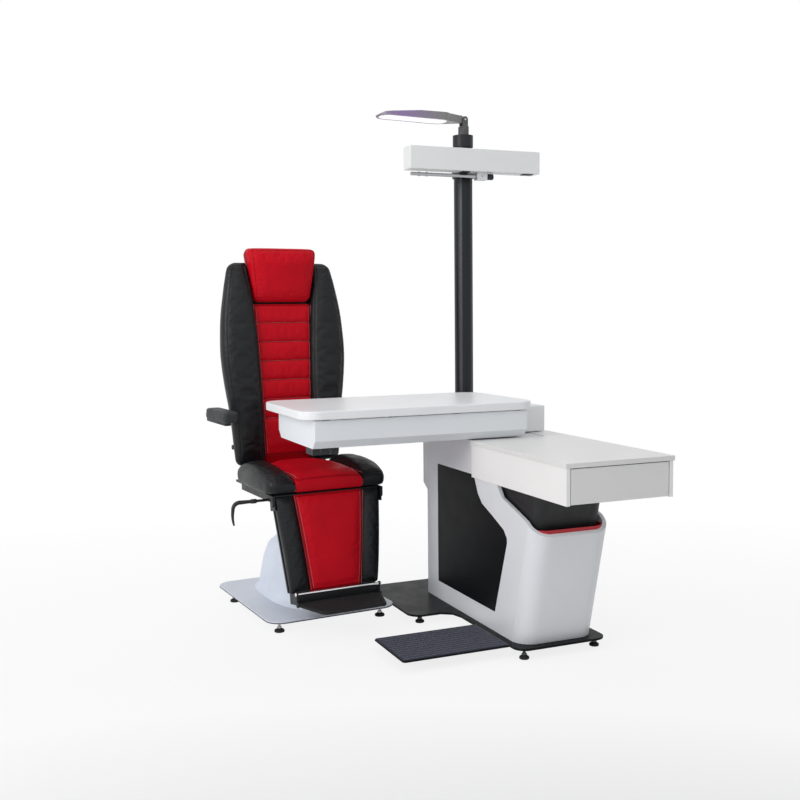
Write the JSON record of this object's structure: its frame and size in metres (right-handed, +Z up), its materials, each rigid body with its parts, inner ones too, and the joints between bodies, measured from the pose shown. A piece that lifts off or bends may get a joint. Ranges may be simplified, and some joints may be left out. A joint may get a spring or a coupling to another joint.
{
  "type": "electric optometry table",
  "caption": "Combined eye-examination unit: reclining lift chair with leg rest beside an instrument stand with swing table, drawer table, pole, phoropter arm and lamp.",
  "frame": {"origin": "centre of the bounding box in plan, at floor level", "axes": "+Z up; +X to the right of the instrument stand as its user faces it; +Y to the back of the stand"},
  "size_m": [1.3474, 1.5617, 1.9661],
  "materials": {
    "base_plate": "black powder coat",
    "table_feet": "dull rubber and black zinc",
    "step_plate": "black powder coat",
    "step_mat": "ribbed, matt, blue-black",
    "cabinet_shell": "smooth cool-white lacquer",
    "left_inset_panel": "satin black",
    "right_inset_panel": "satin black",
    "inner_body": "satin black",
    "trough_trim": "smooth deep red",
    "mast_housing": "light grey-white powder coat",
    "pole_clamps": "satin black",
    "pole": "black anodised, fluted",
    "pole_cap": "smooth black",
    "side_carcass": "cool-white laminate",
    "side_top": "cool-white laminate",
    "drawer_runners": "brushed",
    "swing_bearing": "grey satin",
    "power_inlet": "black",
    "chair_plate": "light grey-white powder coat",
    "chair_feet": "dull rubber and black zinc",
    "pedestal_cover": "moulded, smooth, cool grey-white",
    "lift_outer": "satin black",
    "drawer_box": "pale laminate",
    "drawer_front": "cool-white laminate",
    "swing_spindle": "silver satin",
    "swing_head": "light grey-white powder coat",
    "tray_body": "cool-white powder coat",
    "table_top": "cool-white laminate",
    "top_spacers": "black",
    "control_box": "fine matt black",
    "button_up": "silver grey",
    "button_down": "silver grey",
    "arm_collar": "satin black",
    "arm_box": "white powder coat",
    "rod_clamp": "silver satin",
    "phoropter_rod": "brushed",
    "clamp_knob": "black, knurled",
    "lamp_neck": "dark grey satin",
    "lamp_pin": "turned",
    "lamp_head": "smooth mid grey",
    "lamp_diffuser": "milky white with a faint violet cast",
    "lift_inner": "ground and chromed",
    "upper_cover": "moulded, smooth, cool grey-white",
    "seat_frame": "satin black",
    "seat_bolsters": "black grained",
    "seat_insert": "red grained",
    "legrest_board": "satin black",
    "legrest_pad": "black grained",
    "legrest_insert": "red grained",
    "hinge_rod": "bright",
    "foot_plate": "black ribbed",
    "back_shell": "black",
    "back_bolsters": "black grained",
    "back_panel": "red grained",
    "headrest": "red grained",
    "headrest_posts": "bright",
    "armrest_left": "soft black",
    "armrest_right": "soft black",
    "recline_lever": "satin black",
    "back_knob": "black"
  },
  "bodies": {
    "root": {"base_plate": "base_plate", "table_feet": "table_feet", "step_plate": "step_plate", "step_mat": "step_mat", "cabinet_shell": "cabinet_shell", "left_inset_panel": "left_inset_panel", "right_inset_panel": "right_inset_panel", "inner_body": "inner_body", "trough_trim": "trough_trim", "mast_housing": "mast_housing", "pole_clamps": "pole_clamps", "pole": "pole", "pole_cap": "pole_cap", "side_carcass": "side_carcass", "side_top": "side_top", "drawer_runners": "drawer_runners", "swing_bearing": "swing_bearing", "power_inlet": "power_inlet", "chair_plate": "chair_plate", "chair_feet": "chair_feet", "pedestal_cover": "pedestal_cover", "lift_outer": "lift_outer"},
    "drawer": {"drawer_box": "drawer_box", "drawer_front": "drawer_front"},
    "swing_table": {"swing_spindle": "swing_spindle", "swing_head": "swing_head", "tray_body": "tray_body", "table_top": "table_top", "top_spacers": "top_spacers", "control_box": "control_box"},
    "button_up": {"button_up": "button_up"},
    "button_down": {"button_down": "button_down"},
    "arm": {"arm_collar": "arm_collar", "arm_box": "arm_box", "rod_clamp": "rod_clamp"},
    "phoropter_rod": {"phoropter_rod": "phoropter_rod"},
    "clamp_knob": {"clamp_knob": "clamp_knob"},
    "lamp_neck": {"lamp_neck": "lamp_neck", "lamp_pin": "lamp_pin"},
    "lamp_head": {"lamp_head": "lamp_head", "lamp_diffuser": "lamp_diffuser"},
    "seat": {"lift_inner": "lift_inner", "upper_cover": "upper_cover", "seat_frame": "seat_frame", "seat_bolsters": "seat_bolsters", "seat_insert": "seat_insert"},
    "legrest": {"legrest_board": "legrest_board", "legrest_pad": "legrest_pad", "legrest_insert": "legrest_insert", "hinge_rod": "hinge_rod"},
    "foot_plate": {"foot_plate": "foot_plate"},
    "backrest": {"back_shell": "back_shell", "back_bolsters": "back_bolsters", "back_panel": "back_panel"},
    "headrest": {"headrest": "headrest", "headrest_posts": "headrest_posts"},
    "armrest_left": {"armrest_left": "armrest_left"},
    "armrest_right": {"armrest_right": "armrest_right"},
    "recline_lever": {"recline_lever": "recline_lever"},
    "back_knob": {"back_knob": "back_knob"}
  },
  "joints": [
    {"name": "drawer_slide", "type": "slide", "parent": "root", "child": "drawer", "axis": [0, -1, 0], "range_m": [0, 0.35]},
    {"name": "table_swing", "type": "hinge", "parent": "root", "child": "swing_table", "pos_m": [0.3987, 0.1202, 0.703], "axis": [0, 0, 1], "range_deg": [0, 50]},
    {"name": "button_up_press", "type": "slide", "parent": "swing_table", "child": "button_up", "axis": [0, 1, 0], "range_m": [0, 0.002], "stiffness_N_per_m": 300},
    {"name": "button_down_press", "type": "slide", "parent": "swing_table", "child": "button_down", "axis": [0, 1, 0], "range_m": [0, 0.002], "stiffness_N_per_m": 300},
    {"name": "arm_swing", "type": "hinge", "parent": "root", "child": "arm", "pos_m": [0.3817, 0.4022, 1.77], "axis": [0, 0, 1], "range_deg": [-90, 90]},
    {"name": "rod_slide", "type": "slide", "parent": "arm", "child": "phoropter_rod", "axis": [1, 0, 0], "range_m": [-0.025, 0]},
    {"name": "clamp_knob_turn", "type": "hinge", "parent": "arm", "child": "clamp_knob", "pos_m": [0.4427, 0.31815, 1.712], "axis": [1, 0, 0], "range_deg": [-180, 180]},
    {"name": "lamp_swing", "type": "hinge", "parent": "root", "child": "lamp_neck", "pos_m": [0.3817, 0.4022, 1.89], "axis": [0, 0, 1], "range_deg": [-90, 90]},
    {"name": "lamp_tilt", "type": "hinge", "parent": "lamp_neck", "child": "lamp_head", "pos_m": [0.3857, 0.4022, 1.9503], "axis": [0, 1, 0], "range_deg": [-15, 20]},
    {"name": "seat_lift", "type": "slide", "parent": "root", "child": "seat", "axis": [0, 0, 1], "range_m": [-0.045, 0.08]},
    {"name": "legrest_lift", "type": "hinge", "parent": "seat", "child": "legrest", "pos_m": [-0.30465, 0.17411, 0.474], "axis": [-0.9969, -0.0785, 0], "range_deg": [0, 60]},
    {"name": "foot_plate_fold", "type": "hinge", "parent": "legrest", "child": "foot_plate", "pos_m": [-0.29704, 0.07734, 0.11205], "axis": [-0.9969, -0.0785, 0], "range_deg": [0, 80]},
    {"name": "back_recline", "type": "hinge", "parent": "seat", "child": "backrest", "pos_m": [-0.33866, 0.60617, 0.52917], "axis": [-0.9969, -0.0785, 0], "range_deg": [0, 35]},
    {"name": "headrest_slide", "type": "slide", "parent": "backrest", "child": "headrest", "axis": [-0.0067, 0.0851, 0.9963], "range_m": [0, 0.06]},
    {"name": "armrest_left_raise", "type": "hinge", "parent": "backrest", "child": "armrest_left", "pos_m": [-0.54663, 0.61045, 0.76929], "axis": [-0.9969, -0.0785, 0], "range_deg": [0, 85]},
    {"name": "armrest_right_raise", "type": "hinge", "parent": "backrest", "child": "armrest_right", "pos_m": [-0.13391, 0.64293, 0.76929], "axis": [-0.9969, -0.0785, 0], "range_deg": [0, 85]},
    {"name": "lever_turn", "type": "hinge", "parent": "seat", "child": "recline_lever", "pos_m": [-0.51071, 0.24315, 0.475], "axis": [0.9969, 0.0785, 0], "range_deg": [-20, 25]},
    {"name": "back_knob_turn", "type": "hinge", "parent": "backrest", "child": "back_knob", "pos_m": [-0.53575, 0.59965, 0.63379], "axis": [0.9969, 0.0785, 0], "range_deg": [-180, 180]}
  ]
}
